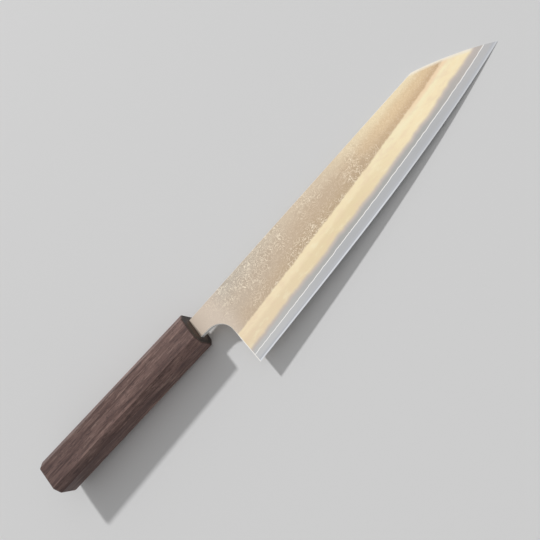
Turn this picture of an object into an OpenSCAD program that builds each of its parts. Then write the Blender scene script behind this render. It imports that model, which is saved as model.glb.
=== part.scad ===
// Kiritsuke kitchen knife lying on its side.
// X runs along the handle towards the tip, Y towards the spine, Z up through the thickness.
// The knife is drawn from the middle of the handle's front face, then place() moves it
// so that the origin is the bottom centre of its bounding box.

/* [Blade outline] */
// Length of the cutting edge from heel to tip, along the handle's axis
edge_len = 210; // [180:5:270]
// Distance from the handle's front face to the heel
heel_gap = 19.3; // [16:0.1:26]
// Depth of the heel below the handle's axis
heel_drop = 43.9; // [38:0.1:48]
// Distance by which the heel lies further forward than the choil's corner
heel_lean = 0.8; // [0:0.1:2]
// Depth of the tip below the handle's axis
tip_drop = 13.0; // [8:0.1:16]
// Rise of the cutting edge's belly at the tip, above the straight line of its heel part
belly_rise = 8.7; // [3:0.1:14]
// Power of the belly's curve: the higher it is, the longer the edge stays straight
belly_power = 3.5; // [2:0.5:5]
// Height of the spine above the handle's axis, at the handle
neck_top = 7.1; // [6:0.1:9]
// Depth of the neck's lower side below the handle's axis
neck_bottom = 6.4; // [4:0.1:7]
// Fall of the neck's lower side from the handle to the choil's corner
neck_fall = 0.6; // [0:0.1:1]
// Rounding of the choil, between the neck and the heel line
choil_radius = 12.5; // [6:0.5:13]
// Rise of the spine from the handle to the angled corner
spine_rise = 4.9; // [0:0.1:8]
// Length of the angled cut from its corner to the tip, along the handle's axis
clip_len = 38.4; // [25:0.2:55]
// Radius of the slight belly of the angled cut
clip_radius = 175; // [90:5:600]
// Rounding where the spine meets the angled cut
corner_radius = 4; // [1:0.5:8]

/* [Blade section] */
// Thickness of the spine at the handle
spine_t = 3.0; // [2.2:0.1:4]
// Thickness of the flat at the tip
tip_t = 1.0; // [0.8:0.1:1.6]
// Easing of the sharp corners along spine, angled cut and choil
spine_ease = 0.25; // [0.1:0.05:0.35]
// Width of the ground bevel, from the cutting edge up to its ridge line
bevel_w = 22; // [14:0.2:24]
// Width of the narrow final bevel at the cutting edge
edge_bevel_w = 0.8; // [0.4:0.1:1.5]
// Share of the flat's thickness that is left above the final bevel
edge_bevel_share = 0.09; // [0.05:0.01:0.15]
// Height of the bright line above the cutting edge, where the core comes out
core_show = 5.65; // [3:0.1:9]
// Width of the bright line of the thin metal layers, measured on the bevel
shim_show = 0.7; // [0.4:0.05:1.5]

/* [Tang] */
// Length of the tang inside the handle
tang_len = 92; // [60:1:100]
// Depth inside the handle at which the neck steps down to the tang
shoulder_depth = 7; // [4:0.5:12]
// Width of the tang behind the step
tang_w = 9.6; // [7:0.1:9.8]
// Width of the tang at its end
tang_end_w = 5; // [3:0.1:7]
// Thickness of the tang at its end
tang_end_t = 2.2; // [1.5:0.1:3]
// Thickness of the glue around the neck and tang
glue_gap = 0.4; // [0.3:0.05:0.8]
// Depth of the sealing ring in the mouth of the handle
seal_depth = 1.5; // [0.8:0.1:3]

/* [Handle] */
// Length of the handle on its axis
handle_len = 138.5; // [110:0.5:150]
// Width of the handle at its front, in the blade's plane
handle_front_w = 22.9; // [20:0.1:26]
// Width of the handle at its butt, in the blade's plane
handle_butt_w = 25.6; // [22:0.1:30]
// Thickness of the handle, across the blade's plane
handle_t = 19.8; // [17:0.1:24]
// Leg of the long chamfers that make the handle eight-sided
handle_chamfer = 4.2; // [3:0.1:6]
// Bevel round the front face of the handle
front_bevel = 0.5; // [0.3:0.1:2]
// Rounding of the butt's edges
butt_rounding = 2.5; // [1:0.1:4.5]
// Angle by which the butt leans back towards the spine side
butt_slant = 8; // [0:1:12]

/* [Hidden] */

// Length by which cutting bodies stand out past what they cut
spare = 3;
// Height by which the blank stands out past the flats that it cuts
blank_spare = 0.3;
// Straight pieces that stand for each curve
edge_steps = 24;
arc_steps = 12;
butt_steps = 8;

// Corners of the blade
heel_x = heel_gap;
tip_x = heel_gap + edge_len;
heel = [heel_x, -heel_drop];
tip = [tip_x, -tip_drop];
corner = [tip_x - clip_len, neck_top + spine_rise];
choil_corner = [heel_x - heel_lean, -neck_bottom - neck_fall];

function unit(v) = v / norm(v);
function left_of(v) = [-v[1], v[0]];
function reversed(list) = [for (i = [len(list) - 1 : -1 : 0]) list[i]];

// Points of an arc that rounds the corner b of the path a, b, c
function rounded(a, b, c, r) = let(
    u = unit(a - b),
    v = unit(c - b),
    half = acos(u * v) / 2,
    centre = b + unit(u + v) * r / sin(half),
    arm = b + u * r / tan(half) - centre,
    sweep = sign(u[1] * v[0] - u[0] * v[1]) * (180 - 2 * half)
) [for (i = [0 : arc_steps]) let(t = sweep * i / arc_steps)
    centre + arm * cos(t) + left_of(arm) * sin(t)];

// Points of a shallow arc that bulges to the left of the way from a to b, without a itself
function bulge(a, b, r) = let(
    along = unit(b - a),
    half = norm(b - a) / 2,
    centre = (a + b) / 2 - left_of(along) * sqrt(r * r - half * half),
    sweep = asin(half / r)
) [for (i = [1 : arc_steps]) let(t = sweep * (1 - 2 * i / arc_steps))
    centre + left_of(along) * r * cos(t) - along * r * sin(t)];

// The outline of a path that runs clockwise, drawn in by d on every side
function drawn_in(path, d) = let(n = len(path)) [for (i = [0 : n - 1]) let(
    before = -left_of(unit(path[i] - path[(i + n - 1) % n])),
    after = -left_of(unit(path[(i + 1) % n] - path[i]))
) path[i] + (before + after) * d / (1 + before * after)];

// A solid skinned over rings with the same number of points each, every ring clockwise
// as seen from the last one
module skin(rings) {
    n = len(rings[0]);
    last = (len(rings) - 1) * n;
    start = [for (j = [n - 1 : -1 : 0]) j];
    end = [for (j = [0 : n - 1]) last + j];
    sides = [for (i = [0 : n : last - n]) for (j = [0 : n - 1]) let(
        a = i + j,
        b = i + (j + 1) % n
    ) each [[a, b, b + n], [a, b + n, a + n]]];
    polyhedron([for (ring = rings) each ring], concat([start], sides, [end]), convexity = 6);
}

// The cutting edge runs straight from the heel and rises to the tip in a growing curve
heel_part_rise = heel_drop - tip_drop - belly_rise;
function edge_y(x) = let(share = (x - heel_x) / edge_len)
    heel_part_rise * share + belly_rise * pow(max(share, 0), belly_power) - heel_drop;

// Half thickness of the flats, in one straight taper on the blade and another on the tang
function blade_half_t(x) = (spine_t + (tip_t - spine_t) * x / tip_x) / 2;
function tang_half_t(x) = (spine_t - (tang_end_t - spine_t) * x / tang_len) / 2;
function half_t(x) = x > 0 ? blade_half_t(x) : tang_half_t(x);

// A layer's thickness is a share of the flat's, so its line on the bevel keeps its height
function share_at(height) = edge_bevel_share
    + (1 - edge_bevel_share) * (height - edge_bevel_w) / (bevel_w - edge_bevel_w);
shim_top = core_show + shim_show;
core_share = share_at(core_show);
shim_share = share_at(shim_top);

// The wedge-ground layers. A section is a list of [height above the edge, share of the half
// thickness], and above_spine stands for the straight line that clears the spine.
above_spine = -1;
edge_stations = [for (i = [1 : edge_steps]) heel_x + edge_len * i / edge_steps];
stations = concat([-tang_len - spare, 0], edge_stations, [tip_x + spare]);
function section_y(x, height) = height == above_spine ? corner[1] + spare : edge_y(x) + height;
module ground(section) {
    skin([for (x = stations) [for (p = section) [x, section_y(x, p[0]), half_t(x) * p[1]]]]);
}

// The tang and neck inside the handle on one side of their middle, grown by g
tang_mid = (neck_top - neck_bottom) / 2;
neck_half_w = (neck_top + neck_bottom) / 2;
function tang_side(side, g) = [
    [-tang_len - g, tang_mid + side * (tang_end_w / 2 + g)],
    [-shoulder_depth - g, tang_mid + side * (tang_w / 2 + g)],
    [-shoulder_depth - g, tang_mid + side * (neck_half_w + g)]
];

// The blank's outline, clockwise: tang, spine, angled cut, past the edge, heel line and choil
neck_root = [0, -neck_bottom];
clip_points = bulge(corner, tip, clip_radius);
outline = concat(
    tang_side(1, 0),
    rounded([0, neck_top], corner, clip_points[0], corner_radius),
    clip_points,
    [[tip_x, -heel_drop - spare], heel + unit(heel - choil_corner) * spare],
    rounded(heel, choil_corner, neck_root, choil_radius),
    [neck_root],
    reversed(tang_side(-1, 0))
);

// One level of the blank: the outline drawn in, at a distance outside the blade's flat
function blank_level(side, outside) = [for (p = drawn_in(outline, spine_ease + outside))
    [p[0], p[1], side * (blade_half_t(p[0]) + outside)]];

// The blank, which gives every layer its outline and eases the corners of the flats
module blank() {
    skin([blank_level(-1, blank_spare), blank_level(-1, -spine_ease),
          blank_level(1, -spine_ease), blank_level(1, blank_spare)]);
}

// One ring of the eight-sided handle, drawn in by inset on every side. It crosses the axis
// at x and leans back by slant, the tangent of its angle.
handle_taper = (handle_butt_w - handle_front_w) / 2 / handle_len;
function handle_ring(x, inset, slant) = let(
    w = handle_front_w / 2 - handle_taper * x - inset,
    h = handle_t / 2 - inset,
    leg = handle_chamfer - inset * (2 - sqrt(2)),
    corners = [[w - leg, h], [w, h - leg], [w, leg - h], [w - leg, -h],
               [leg - w, -h], [-w, leg - h], [-w, h - leg], [leg - w, h]]
) [for (c = corners) let(y = c[0] / (1 - sign(c[0]) * handle_taper * slant))
    [x - slant * y, y, c[1]]];

// The handle from its rounded, slanted butt to its bevelled front face
handle_rings = concat(
    [for (i = [butt_steps : -1 : 0]) let(t = 90 * i / butt_steps) handle_ring(
        butt_rounding * (1 - sin(t)) - handle_len, butt_rounding * (1 - cos(t)), tan(butt_slant))],
    [handle_ring(-front_bevel, 0, 0), handle_ring(0, front_bevel, 0)]
);
handle_points = [for (ring = handle_rings) each ring];

// Moves the knife from the handle's front face to the origin at the bottom centre
min_x = min([for (p = handle_points) p[0]]);
max_y = max([for (p = concat(handle_points, outline)) p[1]]);
module place() {
    translate([-(min_x + tip_x) / 2, (heel_drop - max_y) / 2, handle_t / 2]) children();
}

module core_steel() {
    color("lightsteelblue") place() intersection() {
        ground([[above_spine, -core_share], [core_show, -core_share],
                [edge_bevel_w, -edge_bevel_share], [0, 0], [edge_bevel_w, edge_bevel_share],
                [core_show, core_share], [above_spine, core_share]]);
        blank();
    }
}

// The thin bright layer between core and cladding, on the right side
module shim() {
    intersection() {
        ground([[above_spine, core_share], [core_show, core_share],
                [shim_top, shim_share], [above_spine, shim_share]]);
        blank();
    }
}

// The soft outer layer, which holds the flat and most of the bevel, on the right side
module cladding() {
    intersection() {
        ground([[above_spine, shim_share], [shim_top, shim_share],
                [bevel_w, 1], [above_spine, 1]]);
        blank();
    }
}

module right_shim() { color("white") place() shim(); }
module left_shim() { color("white") place() mirror([0, 0, 1]) shim(); }
module right_cladding() { color("tan") place() cladding(); }
module left_cladding() { color("tan") place() mirror([0, 0, 1]) cladding(); }

// The whole blade and tang in one, which the glue and the seal leave free
module whole_blade() {
    intersection() {
        ground([[above_spine, -1], [bevel_w, -1], [edge_bevel_w, -edge_bevel_share], [0, 0],
                [edge_bevel_w, edge_bevel_share], [bevel_w, 1], [above_spine, 1]]);
        blank();
    }
}

// The space round neck and tang, open at its front end
module pocket(front) {
    mouth = [[front, neck_top + glue_gap], [front, -neck_bottom - glue_gap]];
    linear_extrude(height = spine_t + 2 * glue_gap, center = true)
        polygon(concat(tang_side(1, glue_gap), mouth, reversed(tang_side(-1, glue_gap))));
}

module handle() {
    color("saddlebrown") place() difference() {
        skin(handle_rings);
        pocket(spare);
    }
}

// Glue round the tang, from behind the sealing ring to the end of the pocket
module tang_glue() {
    color("goldenrod") place() difference() {
        pocket(-seal_depth);
        whole_blade();
    }
}

// Dark sealing ring round the neck, flush with the handle's front face
module neck_seal() {
    color("dimgray") place() difference() {
        pocket(0);
        pocket(-seal_depth);
        whole_blade();
    }
}

core_steel();
right_shim();
left_shim();
right_cladding();
left_cladding();
handle();
tang_glue();
neck_seal();
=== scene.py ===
"""Looks of the kiritsuke knife: satin laminated blade and dark eight-sided wooden handle."""
import math

import bpy
from mathutils import Matrix, Vector


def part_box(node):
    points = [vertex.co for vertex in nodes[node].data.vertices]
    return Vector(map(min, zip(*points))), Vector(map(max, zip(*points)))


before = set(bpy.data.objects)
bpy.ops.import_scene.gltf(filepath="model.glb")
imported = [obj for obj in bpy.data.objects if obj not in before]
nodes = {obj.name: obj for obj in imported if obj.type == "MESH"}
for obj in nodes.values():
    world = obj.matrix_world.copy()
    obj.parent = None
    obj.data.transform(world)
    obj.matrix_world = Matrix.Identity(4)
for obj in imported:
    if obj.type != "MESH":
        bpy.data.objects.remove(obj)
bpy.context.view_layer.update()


def rgb(red, green, blue):
    """A colour given as it looks on screen, from 0 to 255, as linear light by the sRGB curve."""
    linear = []
    for value in (red, green, blue):
        share = value / 255
        linear.append(share / 12.92 if share <= 0.04045 else ((share + 0.055) / 1.055) ** 2.4)
    return (*linear, 1.0)


# Sizes of the knife, in metres, as the frame has them
HANDLE_LOW, HANDLE_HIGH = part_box("handle")
BLADE_LOW, BLADE_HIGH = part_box("core_steel")
HANDLE_FRONT_X = HANDLE_HIGH.x
TIP_X = BLADE_HIGH.x
MID_Z = (BLADE_LOW.z + BLADE_HIGH.z) / 2
FRONT_BEVEL = 0.0005
FRONT_HALF_WIDTH = 0.01145
HALF_THICKNESS = 0.0099
HANDLE_CHAMFER = 0.0042
EDGE_LENGTH = 0.210
HEEL_X = TIP_X - EDGE_LENGTH
HEEL_Y = BLADE_LOW.y

# The cutting edge rises in a straight line, with a belly that grows towards the tip
STRAIGHT_RISE = 0.0222
BELLY_RISE = 0.0087
BELLY_POWER = 3.5
# How far the heel line leans back for each unit of height
HEEL_LEAN = 0.0217
# Width of the flat at the heel, and what it loses up to the tip
FLAT_WIDTH = 0.0295
FLAT_TAPER = 0.022
# The shallow arc that the angled cut follows
CUT_CENTRE = (0.070776, -0.130345, 0.0)
CUT_RADIUS = 0.175

# A share is a place along the cutting edge, 0 at the heel and 1 at the tip.

# Each band's border lies at a height above the cutting edge.
# Its bow: the share up to which it rises, by how much, the share from which it falls, by how much.
# Its waves: how many to the metre, and about three times their height, below 0 if turned over.
LINE_HEIGHT = 0.0053
LINE_BOW = (0.55, 0.0010, 0.60, 0.0006)
LINE_WAVES = ((230.0, -0.0011), (28.0, -0.0007))
HAZE_HEIGHT = 0.0090
HAZE_BOW = (0.25, 0.0012, 0.75, 0.0005)
HAZE_WAVES = ((42.0, 0.0036), (190.0, 0.0018))
RIDGE_HEIGHT = 0.02155
RIDGE_BOW = (0.40, 0.0006, 0.50, 0.0006)
RIDGE_WAVES = ((60.0, 0.0014), (330.0, 0.0014))

# Where a mask starts and where it is full: heights and widths in metres, the rest in shares,
# in parts of the flat's width, or in how far the surface faces an axis
EDGE_BEVEL_RAMP = (0.00072, 0.00096)
LINE_RAMP = (0.000336, 0.000126)
LINE_SIDE_RAMP = (-0.0001, 0.0001)
HAZE_RAMP = (-0.0009, 0.0016)
RIDGE_RAMP = (-0.0010, 0.0004)
CREAM_RAMP = (-0.0065, -0.0035)
HEEL_LINE_RAMP = (0.0245, 0.0205)
CUT_SHARE_RAMP = (0.3, 0.5)
APRICOT_SHARE_RAMP = (0.66, 0.80)
FLAT_LOWER_RAMP = (0.0, 0.5)
FLAT_UPPER_RAMP = (0.5, 1.0)
EASED_RAMP = (0.97, 0.85)
CHOIL_RAMP = (0.2, -0.1)

# Colours at the heel, in mid-blade and at the tip, and the share about which the tip's comes in
HEEL_SIDE_RAMP = (0.0, 0.40)
TIP_SIDE_REACH = 0.15
CORE_GREY = (rgb(205, 205, 205), rgb(185, 186, 188), rgb(194, 193, 193), 0.85)
# The final bevel's brightness is partly painted highlight
EDGE_BRIGHT = (rgb(236, 239, 244), rgb(234, 237, 242), rgb(212, 214, 218), 0.60)
# The ground bevel's grey and cream bands are partly their own finish and partly painted reflection
HAZE_GREY = (rgb(200, 199, 197), rgb(180, 179, 176), rgb(198, 190, 184), 0.85)
CREAM_LOW = (rgb(241, 221, 188), rgb(240, 221, 180), rgb(255, 238, 198), 0.60)
CREAM_HIGH = (rgb(252, 234, 200), rgb(252, 235, 196), rgb(255, 243, 205), 0.60)
# The flat's paling towards the tip is partly painted light
FLAT_LOW = (rgb(203, 182, 157), rgb(195, 171, 139), rgb(212, 181, 143), 0.65)
FLAT_MIDDLE = (rgb(202, 186, 167), rgb(202, 180, 153), rgb(231, 204, 163), 0.58)
FLAT_HIGH = (rgb(195, 187, 175), rgb(216, 198, 173), rgb(246, 229, 192), 0.56)
# Painted highlight on the blade's eased corners
EASED_HIGHLIGHT = (rgb(220, 210, 196), rgb(230, 218, 200), rgb(255, 250, 240), 0.65)
LINE_WHITE = rgb(250, 248, 245)
# Painted highlight: the white along the heel line and the choil
HIGHLIGHT_WHITE = rgb(255, 252, 246)

# Tints: where the tint starts and where it is full, its strength and its colour
EDGE_SHADE = (0.0030, 0.0008, 1.0, rgb(190, 193, 198))
# Painted highlight along the heel line
HEEL_HIGHLIGHT = (0.000585, 0.000315, 1.0, HIGHLIGHT_WHITE)
# Painted highlight along the angled cut
CUT_HIGHLIGHT = (0.0024, 0.0004, 1.0, rgb(248, 240, 223))
BLUSH = (0.48, 0.66, 0.30, rgb(240, 214, 184))
GLINT = (0.46, 0.30, 0.35, rgb(255, 246, 214))
APRICOT = (-0.0035, -0.0010, 1.0, rgb(249, 223, 187))
WARM_HAZE = (-0.0024, -0.0004, 1.0, rgb(204, 193, 186))
NECK_TAN = (0.06, -0.02, 1.0, rgb(218, 203, 187))
HOLLOW = (0.25, 0.40, 0.35, rgb(174, 153, 130))
CURL = (0.15, 0.03, 0.75, rgb(250, 238, 216))

# Clouds: strength and colour
CORE_CLOUD = (0.25, rgb(202, 203, 206))
CREAM_CLOUD = (0.25, rgb(240, 224, 190))
FLAT_CLOUD = (0.15, rgb(190, 170, 148))

# Noises: cells to the metre along X, Y and Z, detail, and where unusual roughness and distortion
CORE_CLOUDS = ((120, 260, 120), 4.0, 0.6)
CLADDING_CLOUDS = ((16, 40, 16), 4.0)
CREAM_MOTTLE = ((130, 260, 130), 3.0, 0.6)
FLOW_PATCHES = ((36, 60, 36), 4.0, 0.6)
CORE_GRAIN = ((60, 2400, 60), 2.0)
CLADDING_GRAIN = ((60, 2200, 60), 2.0)
WAVE_DETAIL = 2.0
NOISE_MIDDLE = 0.5

# The flow lines are the contours of one noise. A second noise makes them strong in patches,
# more of them on the heel's side of the even share, and they fade in from the neck to the heel.
FLOW_FIELD = (230.0, 1.5, 0.6, 2.0)
FLOW_CONTOURS = 5.0
CONTOUR_MIDDLE = 0.5
FLOW_EVEN_SHARE = 0.45
FLOW_LEAN = 0.12
FLOW_PATCH_RAMP = (0.46, 0.62)
FLOW_LEAST = 0.30
FLOW_START_RAMP = (-0.09, 0.06)

# Gloss of the steel, and the strength and depth of its bump
METALLIC = 0.2
CORE_ROUGHNESS = 0.60
CLADDING_ROUGHNESS = 0.62
STEEL_ROUGHNESS_SPREAD = 0.1
STEEL_BUMP = (0.05, 0.0001)

# The handle's wood: noises, tints and gloss, in the forms given above
BROAD_GRAIN = ((16, 200, 200), 3.0, 0.5, 0.4)
STREAKS = ((58, 740, 740), 5.0, 0.65, 0.3)
FIBRES = ((260, 1400, 1400), 3.0, 0.6)
PORES = ((420, 2300, 2300), 2.0)
END_DOTS = (1500.0, 2.0)
BROAD_RAMP = (0.35, 0.65)
PORE_RAMP = (0.60, 0.70)
END_DOT_RAMP = (0.45, 0.62)
END_FACE_RAMP = (0.55, 0.85)
# Where the painted shade on the handle's front face starts and is full, along X
FRONT_SHADE_RAMP = (HANDLE_FRONT_X - 0.003, HANDLE_FRONT_X - 0.001)
WOOD_DARK = rgb(86, 63, 58)
WOOD_LIGHT = rgb(125, 99, 92)
END_LIGHT = rgb(84, 65, 54)
END_DARK = rgb(46, 34, 29)
DARK_STREAK = (0.50, 0.32, 0.75, rgb(62, 44, 42))
LIGHT_STREAK = (0.52, 0.68, 0.75, rgb(152, 126, 116))
DARK_FIBRE = (0.52, 0.68, 0.5, rgb(54, 38, 36))
DARK_PORE = (*PORE_RAMP, 0.7, rgb(40, 28, 27))
DARK_BUTT = (HANDLE_FRONT_X - 0.045, HANDLE_LOW.x + 0.010, 0.32, rgb(62, 46, 46))
# Painted shade round the outline of the handle's front face
FRONT_PAINTED_SHADE = (0.55, 0.80, 0.75, rgb(28, 23, 21))
WOOD_GLOSS = 0.3
WOOD_ROUGHNESS = 0.36
WOOD_ROUGHNESS_SPREAD = 0.2
WOOD_BUMP = (0.2, 0.0002)

# The glue round the tang and the filler at the neck: two colours, cells to the metre, roughness
GLUE = (rgb(180, 150, 90), rgb(200, 168, 104), 200, 0.3)
SEAL = (rgb(30, 26, 24), rgb(48, 42, 38), 600, 0.6)
FILLER_BUMP = (0.1, 0.0001)

# The table top reaches this far each way, and at the tip lies this far under the blade's middle
TABLE_REACH = 6.0
TABLE_GAP = 0.0001
TABLE_GREY = rgb(222, 222, 222)
TABLE_ROUGHNESS = 0.8

# The photograph's camera, found from the handle's corners and the blade's outline
CAMERA_AT = Vector((0.07807, -0.14648, 0.30948))
CAMERA_FORWARD = Vector((-0.18864, 0.44825, -0.87377))
CAMERA_UP = Vector((0.71321, 0.67418, 0.19188))
CAMERA_LENS = 39.584
CAMERA_NEAR = 0.01
SENSOR = 36.0

# Light comes down over the spine, and a little from the butt's side
SUN_TRAVEL = Vector((0.12, -1.30, -1.0))
SUN_STRENGTH = 2.0
SUN_ANGLE = 4.0
WORLD_STRENGTH = 0.43
PALE_STRENGTH = 0.80
WHITE = (1.0, 1.0, 1.0, 1.0)

# Sockets of a Mix node that mixes colours
MIX_FACTOR = 0
MIX_FIRST = 6
MIX_SECOND = 7
MIX_RESULT = 2


class Nodes:
    """A node tree, with short calls for the nodes that the materials and the world use."""

    def __init__(self, tree):
        self.tree = tree

    def node(self, kind, inputs=None, **settings):
        """A new node, with its inputs plugged in and its other settings set."""
        made = self.tree.nodes.new(kind)
        for key, value in settings.items():
            setattr(made, key, value)
        for key, value in (inputs or {}).items():
            self.plug(value, made.inputs[key])
        return made

    def plug(self, value, socket):
        """Links the socket to another node's output, or gives it a plain value."""
        if isinstance(value, bpy.types.NodeSocket):
            self.tree.links.new(value, socket)
        else:
            socket.default_value = value

    def math(self, operation, a, b=0.0):
        return self.node("ShaderNodeMath", {0: a, 1: b}, operation=operation).outputs[0]


class Shader(Nodes):
    """A new material's node tree, with calls for the noises, ramps and tints of its colour."""

    def __init__(self, name):
        self.material = bpy.data.materials.new(name)
        self.material.use_nodes = True
        super().__init__(self.material.node_tree)
        self.surface = self.tree.nodes["Principled BSDF"]

    def set(self, **values):
        """Plugs values into the surface's inputs, whose names have _ for a space."""
        for key, value in values.items():
            self.plug(value, self.surface.inputs[key.replace("_", " ")])

    def place(self):
        return self.node("ShaderNodeTexCoord").outputs["Object"]

    def parts(self, vector):
        return self.node("ShaderNodeSeparateXYZ", {"Vector": vector}).outputs

    def facing(self):
        """The X, Y and Z of the direction that the surface faces."""
        return self.parts(self.node("ShaderNodeTexCoord").outputs["Normal"])

    def noise(self, vector, scale, detail=3.0, roughness=0.5, distortion=0.0):
        made = self.node("ShaderNodeTexNoise", {
            "Vector": vector, "Scale": scale, "Detail": detail,
            "Roughness": roughness, "Distortion": distortion})
        return made.outputs["Fac"]

    def cells(self, at, scale, *form):
        """A noise scaled along each axis. Its form is detail, roughness and distortion."""
        mapping = self.node("ShaderNodeMapping", {"Vector": at, "Scale": scale})
        return self.noise(mapping.outputs["Vector"], 1.0, *form)

    def ramp(self, value, start, end):
        """A smooth step from 0 at start to 1 at end. The end may lie below the start."""
        made = self.node("ShaderNodeMapRange", {
            "Value": value, "From Min": start, "From Max": end}, interpolation_type="SMOOTHSTEP")
        return made.outputs["Result"]

    def mix(self, factor, first, second):
        made = self.node("ShaderNodeMix", data_type="RGBA")
        self.plug(factor, made.inputs[MIX_FACTOR])
        self.plug(first, made.inputs[MIX_FIRST])
        self.plug(second, made.inputs[MIX_SECOND])
        return made.outputs[MIX_RESULT]

    def cloud(self, colour, mask, strength, target):
        """The colour, turned towards the target by strength where the mask is 1."""
        return self.mix(self.math("MULTIPLY", mask, strength), colour, target)

    def tint(self, colour, value, start, end, strength, target, within=None):
        """The colour, turned to the target as the value goes to end, and only where within is 1."""
        mask = self.ramp(value, start, end)
        if within is not None:
            mask = self.math("MULTIPLY", mask, within)
        return self.cloud(colour, mask, strength, target)

    def bump(self, height, strength, depth):
        made = self.node("ShaderNodeBump", {
            "Height": height, "Strength": strength, "Distance": depth})
        self.plug(made.outputs["Normal"], self.surface.inputs["Normal"])


class Blade(Shader):
    """A steel's shader, with the heights above the cutting edge that its bands follow."""

    def __init__(self, name):
        super().__init__(name)
        self.at = self.place()
        parts = self.parts(self.at)
        self.from_heel = self.math("SUBTRACT", parts["X"], HEEL_X)
        self.share = self.math("DIVIDE", self.from_heel, EDGE_LENGTH)
        straight = self.math("MULTIPLY", self.share, STRAIGHT_RISE)
        curve = self.math("POWER", self.math("MAXIMUM", self.share, 0.0), BELLY_POWER)
        edge = self.math("ADD", straight, self.math("MULTIPLY", curve, BELLY_RISE))
        self.above_heel = self.math("SUBTRACT", parts["Y"], HEEL_Y)
        self.height = self.math("SUBTRACT", self.above_heel, edge)

    def along(self, heel, centre, tip, turn):
        """A colour that turns from heel to centre on the heel's side, and to tip about turn."""
        first = self.mix(self.ramp(self.share, *HEEL_SIDE_RAMP), heel, centre)
        tip_side = self.ramp(self.share, turn - TIP_SIDE_REACH, turn + TIP_SIDE_REACH)
        return self.mix(tip_side, first, tip)

    def bow(self, rise_end, rise, fall_start, fall):
        """A height that rises behind the heel and falls again before the tip."""
        up = self.math("MULTIPLY", self.ramp(self.share, 0.0, rise_end), rise)
        down = self.math("MULTIPLY", self.ramp(self.share, fall_start, 1.0), fall)
        return self.math("SUBTRACT", up, down)

    def wave(self, count, amount):
        """A height that wavers along the blade by about a third of amount each way."""
        noise = self.cells(self.at, (count, 0.0, 0.0), WAVE_DETAIL)
        return self.math("MULTIPLY", self.math("SUBTRACT", noise, NOISE_MIDDLE), amount)

    def over(self, border, bow, waves):
        """Height above a band's border, which bows and wavers along the blade."""
        height = self.math("SUBTRACT", self.height, border)
        height = self.math("SUBTRACT", height, self.bow(*bow))
        for count, amount in waves:
            height = self.math("ADD", height, self.wave(count, amount))
        return height

    def lined(self, below, above):
        """The colours below and above the bright line, with the line between them."""
        over = self.over(LINE_HEIGHT, LINE_BOW, LINE_WAVES)
        line = self.ramp(self.math("ABSOLUTE", over), *LINE_RAMP)
        sides = self.mix(self.ramp(over, *LINE_SIDE_RAMP), below, above)
        return self.mix(line, sides, LINE_WHITE)

    def paint_heel_highlight(self, colour):
        """The colour with a painted highlight along the heel line, from the edge up to the choil.
        """
        lean = self.math("MULTIPLY", self.above_heel, HEEL_LEAN)
        inward = self.math("ADD", self.from_heel, lean)
        below_choil = self.ramp(self.above_heel, *HEEL_LINE_RAMP)
        return self.tint(colour, inward, *HEEL_HIGHLIGHT, within=below_choil)

    def paint_cut_highlight(self, colour):
        """The colour, with a painted highlight in a narrow border along the angled cut."""
        parts = self.parts(self.at)
        flat = self.node("ShaderNodeCombineXYZ", {"X": parts["X"], "Y": parts["Y"]})
        radius = self.node("ShaderNodeVectorMath", {0: flat.outputs["Vector"], 1: CUT_CENTRE},
                           operation="DISTANCE")
        inside = self.math("SUBTRACT", CUT_RADIUS, radius.outputs["Value"])
        tip_side = self.ramp(self.share, *CUT_SHARE_RAMP)
        return self.tint(colour, inside, *CUT_HIGHLIGHT, within=tip_side)

    def satin(self, colour, grain, roughness):
        """A partly metallic satin, with a fine grain that scatters the light."""
        # Painted highlight along the heel line
        colour = self.paint_heel_highlight(colour)
        scatter = self.cells(self.at, *grain)
        spread = self.math("MULTIPLY", scatter, STEEL_ROUGHNESS_SPREAD)
        roughness = self.math("ADD", roughness, spread)
        self.set(Base_Color=colour, Metallic=METALLIC, Roughness=roughness)
        self.bump(scatter, *STEEL_BUMP)

    def core_tone(self):
        """Cool pale grey with faint cloudy marks, and the bright final bevel at the edge, partly
        painted highlight.
        """
        clouds = self.cells(self.at, *CORE_CLOUDS)
        tone = self.tint(self.along(*CORE_GREY), self.height, *EDGE_SHADE)
        tone = self.cloud(tone, clouds, *CORE_CLOUD)
        return self.mix(self.ramp(self.height, *EDGE_BEVEL_RAMP), self.along(*EDGE_BRIGHT), tone)


def core_material():
    """The hard core, bare below the bright line."""
    shader = Blade("core_steel")
    tone = shader.core_tone()
    shader.satin(shader.lined(tone, tone), CORE_GRAIN, CORE_ROUGHNESS)
    return shader.material


def bright_material():
    """The thin layers between core and cladding, in which the bright line runs."""
    shader = Blade("bright_layer")
    colour = shader.lined(shader.core_tone(), shader.along(*HAZE_GREY))
    shader.satin(colour, CORE_GRAIN, CORE_ROUGHNESS)
    return shader.material


def ground_bevel(shader, over_ridge, clouds):
    """Cream under the ridge, a soft wavy border, then grey down to the bright line. These bands are
    partly the ground finish and partly painted reflection.
    """
    cream = shader.mix(shader.ramp(over_ridge, *CREAM_RAMP),
                       shader.along(*CREAM_LOW), shader.along(*CREAM_HIGH))
    cream = shader.cloud(cream, clouds, *CREAM_CLOUD)
    mottle = shader.cells(shader.at, *CREAM_MOTTLE)
    cream = shader.tint(cream, mottle, *BLUSH)
    cream = shader.tint(cream, mottle, *GLINT)
    tip_side = shader.ramp(shader.share, *APRICOT_SHARE_RAMP)
    cream = shader.tint(cream, over_ridge, *APRICOT, within=tip_side)
    # Painted highlight along the angled cut
    cream = shader.paint_cut_highlight(cream)
    over_haze = shader.over(HAZE_HEIGHT, HAZE_BOW, HAZE_WAVES)
    grey = shader.tint(shader.along(*HAZE_GREY), over_haze, *WARM_HAZE)
    return shader.mix(shader.ramp(over_haze, *HAZE_RAMP), grey, cream)


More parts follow.
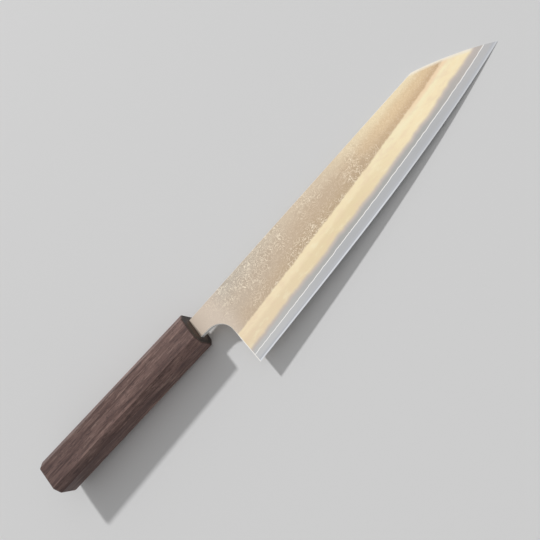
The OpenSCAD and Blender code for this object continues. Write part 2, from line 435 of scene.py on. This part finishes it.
def flow_lines(shader, tone):
    """The flat's tone with fine pale curls and their dark hollows, strongest in patches."""
    field = shader.noise(shader.at, *FLOW_FIELD)
    turn = shader.math("FRACT", shader.math("MULTIPLY", field, FLOW_CONTOURS))
    off = shader.math("ABSOLUTE", shader.math("SUBTRACT", turn, CONTOUR_MIDDLE))
    patches = shader.cells(shader.at, *FLOW_PATCHES)
    before = shader.math("SUBTRACT", FLOW_EVEN_SHARE, shader.share)
    patches = shader.math("ADD", patches, shader.math("MULTIPLY", before, FLOW_LEAN))
    strength = shader.ramp(patches, *FLOW_PATCH_RAMP)
    strength = shader.math("MULTIPLY", strength, 1.0 - FLOW_LEAST)
    strength = shader.math("ADD", FLOW_LEAST, strength)
    strength = shader.math("MULTIPLY", strength, shader.ramp(shader.share, *FLOW_START_RAMP))
    tone = shader.tint(tone, off, *HOLLOW, within=strength)
    return shader.tint(tone, off, *CURL, within=strength)


def flat_side(shader, over_ridge, clouds):
    """Warm tan that pales towards spine and tip, darker along the ridge, with flow lines. Its
    paling towards the tip is partly painted light.
    """
    width = shader.math("SUBTRACT", FLAT_WIDTH, shader.math("MULTIPLY", shader.share, FLAT_TAPER))
    up = shader.math("DIVIDE", over_ridge, width)
    tone = shader.mix(shader.ramp(up, *FLAT_LOWER_RAMP),
                      shader.along(*FLAT_LOW), shader.along(*FLAT_MIDDLE))
    tone = shader.mix(shader.ramp(up, *FLAT_UPPER_RAMP), tone, shader.along(*FLAT_HIGH))
    tone = shader.tint(tone, shader.share, *NECK_TAN)
    tone = shader.cloud(tone, clouds, *FLAT_CLOUD)
    # Painted highlight along the angled cut, under the flow lines
    return flow_lines(shader, shader.paint_cut_highlight(tone))


def paint_eased_highlight(shader, colour):
    """The colour, with a painted highlight where the eased corners turn away from the flat."""
    facing = shader.facing()
    eased = shader.ramp(shader.math("ABSOLUTE", facing["Z"]), *EASED_RAMP)
    choil = shader.ramp(facing["Y"], *CHOIL_RAMP)
    rim = shader.mix(choil, shader.along(*EASED_HIGHLIGHT), HIGHLIGHT_WHITE)
    return shader.mix(eased, colour, rim)


def cladding_material():
    """Satin flat with pale flow lines, and the bands of the ground bevel below its ridge."""
    shader = Blade("cladding")
    clouds = shader.cells(shader.at, *CLADDING_CLOUDS)
    over_ridge = shader.over(RIDGE_HEIGHT, RIDGE_BOW, RIDGE_WAVES)
    bevel = shader.lined(shader.core_tone(), ground_bevel(shader, over_ridge, clouds))
    flat = flat_side(shader, over_ridge, clouds)
    colour = shader.mix(shader.ramp(over_ridge, *RIDGE_RAMP), bevel, flat)
    # Painted highlight on the eased corners
    shader.satin(paint_eased_highlight(shader, colour), CLADDING_GRAIN, CLADDING_ROUGHNESS)
    return shader.material


def paint_front_shade(shader, at, colour):
    """The end grain's colour, darkened by painted shade towards the outline of the handle's front
    face.
    """
    place = shader.parts(at)
    middle = (HANDLE_LOW + HANDLE_HIGH) / 2
    across = shader.math("ABSOLUTE", shader.math("SUBTRACT", place["Y"], middle.y))
    up = shader.math("ABSOLUTE", shader.math("SUBTRACT", place["Z"], middle.z))
    chamfer_reach = FRONT_HALF_WIDTH + HALF_THICKNESS - HANDLE_CHAMFER
    corner = shader.math("DIVIDE", shader.math("ADD", across, up), chamfer_reach)
    side = shader.math("MAXIMUM", shader.math("DIVIDE", across, FRONT_HALF_WIDTH),
                       shader.math("DIVIDE", up, HALF_THICKNESS))
    outward = shader.math("MAXIMUM", side, corner)
    front = shader.ramp(place["X"], *FRONT_SHADE_RAMP)
    return shader.tint(colour, outward, *FRONT_PAINTED_SHADE, within=front)


def wood_material():
    """Dark close-grained wood with lengthwise streaks and open pores, darker at the butt, and
    painted shade round the front face's outline.
    """
    shader = Shader("handle_wood")
    at = shader.place()
    broad = shader.cells(at, *BROAD_GRAIN)
    streaks = shader.cells(at, *STREAKS)
    fibres = shader.cells(at, *FIBRES)
    pores = shader.cells(at, *PORES)
    colour = shader.mix(shader.ramp(broad, *BROAD_RAMP), WOOD_DARK, WOOD_LIGHT)
    colour = shader.tint(colour, streaks, *DARK_STREAK)
    colour = shader.tint(colour, streaks, *LIGHT_STREAK)
    colour = shader.tint(colour, fibres, *DARK_FIBRE)
    colour = shader.tint(colour, pores, *DARK_PORE)
    colour = shader.tint(colour, shader.parts(at)["X"], *DARK_BUTT)
    end_face = shader.ramp(shader.math("ABSOLUTE", shader.facing()["X"]), *END_FACE_RAMP)
    dots = shader.ramp(shader.noise(at, *END_DOTS), *END_DOT_RAMP)
    # Painted shade towards the front face's outline
    end_grain = paint_front_shade(shader, at, shader.mix(dots, END_LIGHT, END_DARK))
    colour = shader.mix(end_face, colour, end_grain)
    spread = shader.math("MULTIPLY", fibres, WOOD_ROUGHNESS_SPREAD)
    shader.set(Base_Color=colour, Specular_IOR_Level=WOOD_GLOSS,
               Roughness=shader.math("ADD", WOOD_ROUGHNESS, spread))
    shader.bump(shader.math("SUBTRACT", fibres, shader.ramp(pores, *PORE_RAMP)), *WOOD_BUMP)
    return shader.material


def filler_material(name, low, high, scale, roughness):
    """A cured glue or filler with a slight mottle."""
    shader = Shader(name)
    mottle = shader.cells(shader.place(), (scale, scale, scale))
    shader.set(Base_Color=shader.mix(mottle, low, high), Roughness=roughness)
    shader.bump(mottle, *FILLER_BUMP)
    return shader.material


def dress(node, material):
    """Gives a CAD node its material."""
    piece = nodes[node]
    piece.data.materials.clear()
    piece.data.materials.append(material)


def table_top():
    """A pale table that touches the handle's front lower edge and the blade's tip."""
    contact_x = HANDLE_FRONT_X - FRONT_BEVEL
    slope = (MID_Z - TABLE_GAP) / (TIP_X - contact_x)
    ends = ((-TABLE_REACH, -TABLE_REACH), (TABLE_REACH, -TABLE_REACH),
            (TABLE_REACH, TABLE_REACH), (-TABLE_REACH, TABLE_REACH))
    corners = [(x, y, slope * (x - contact_x)) for x, y in ends]
    mesh = bpy.data.meshes.new("table_top")
    mesh.from_pydata(corners, [], [(0, 1, 2, 3)])
    table = bpy.data.objects.new("table_top", mesh)
    bpy.context.scene.collection.objects.link(table)
    shader = Shader("table_top")
    shader.set(Base_Color=TABLE_GREY, Roughness=TABLE_ROUGHNESS)
    mesh.materials.append(shader.material)


def camera():
    """The photograph's view."""
    data = bpy.data.cameras.new("camera")
    data.sensor_width = SENSOR
    data.lens = CAMERA_LENS
    data.clip_start = CAMERA_NEAR
    right = CAMERA_FORWARD.cross(CAMERA_UP).normalized()
    up = right.cross(CAMERA_FORWARD).normalized()
    turn = Matrix((right, up, -CAMERA_FORWARD.normalized())).transposed()
    made = bpy.data.objects.new("camera", data)
    made.matrix_world = Matrix.Translation(CAMERA_AT) @ turn.to_4x4()
    bpy.context.scene.collection.objects.link(made)
    bpy.context.scene.camera = made


def key_light():
    """One soft lamp, far off."""
    lamp = bpy.data.lights.new("key", "SUN")
    lamp.energy = SUN_STRENGTH
    lamp.angle = math.radians(SUN_ANGLE)
    key = bpy.data.objects.new("key", lamp)
    key.rotation_mode = "QUATERNION"
    key.rotation_quaternion = SUN_TRAVEL.to_track_quat("-Z", "Y")
    bpy.context.scene.collection.objects.link(key)


def surround():
    """Even light from all round, which the camera and reflections see as a pale background."""
    world = bpy.data.worlds.new("surround")
    bpy.context.scene.world = world
    world.use_nodes = True
    made = Nodes(world.node_tree)
    back = made.tree.nodes["Background"]
    made.plug(WHITE, back.inputs["Color"])
    path = made.node("ShaderNodeLightPath").outputs
    seen = made.math("MAXIMUM", path["Is Camera Ray"], path["Is Glossy Ray"])
    seen = made.math("MAXIMUM", seen, path["Is Transmission Ray"])
    level = made.node("ShaderNodeMapRange", {
        "Value": seen, "To Min": WORLD_STRENGTH, "To Max": PALE_STRENGTH})
    made.plug(level.outputs["Result"], back.inputs["Strength"])


camera()
key_light()
surround()
table_top()
bpy.context.scene.view_settings.view_transform = "Standard"

cladding = cladding_material()
bright = bright_material()
dress("core_steel", core_material())
dress("right_shim", bright)
dress("left_shim", bright)
dress("right_cladding", cladding)
dress("left_cladding", cladding)
dress("handle", wood_material())
dress("tang_glue", filler_material("glue", *GLUE))
dress("neck_seal", filler_material("seal", *SEAL))
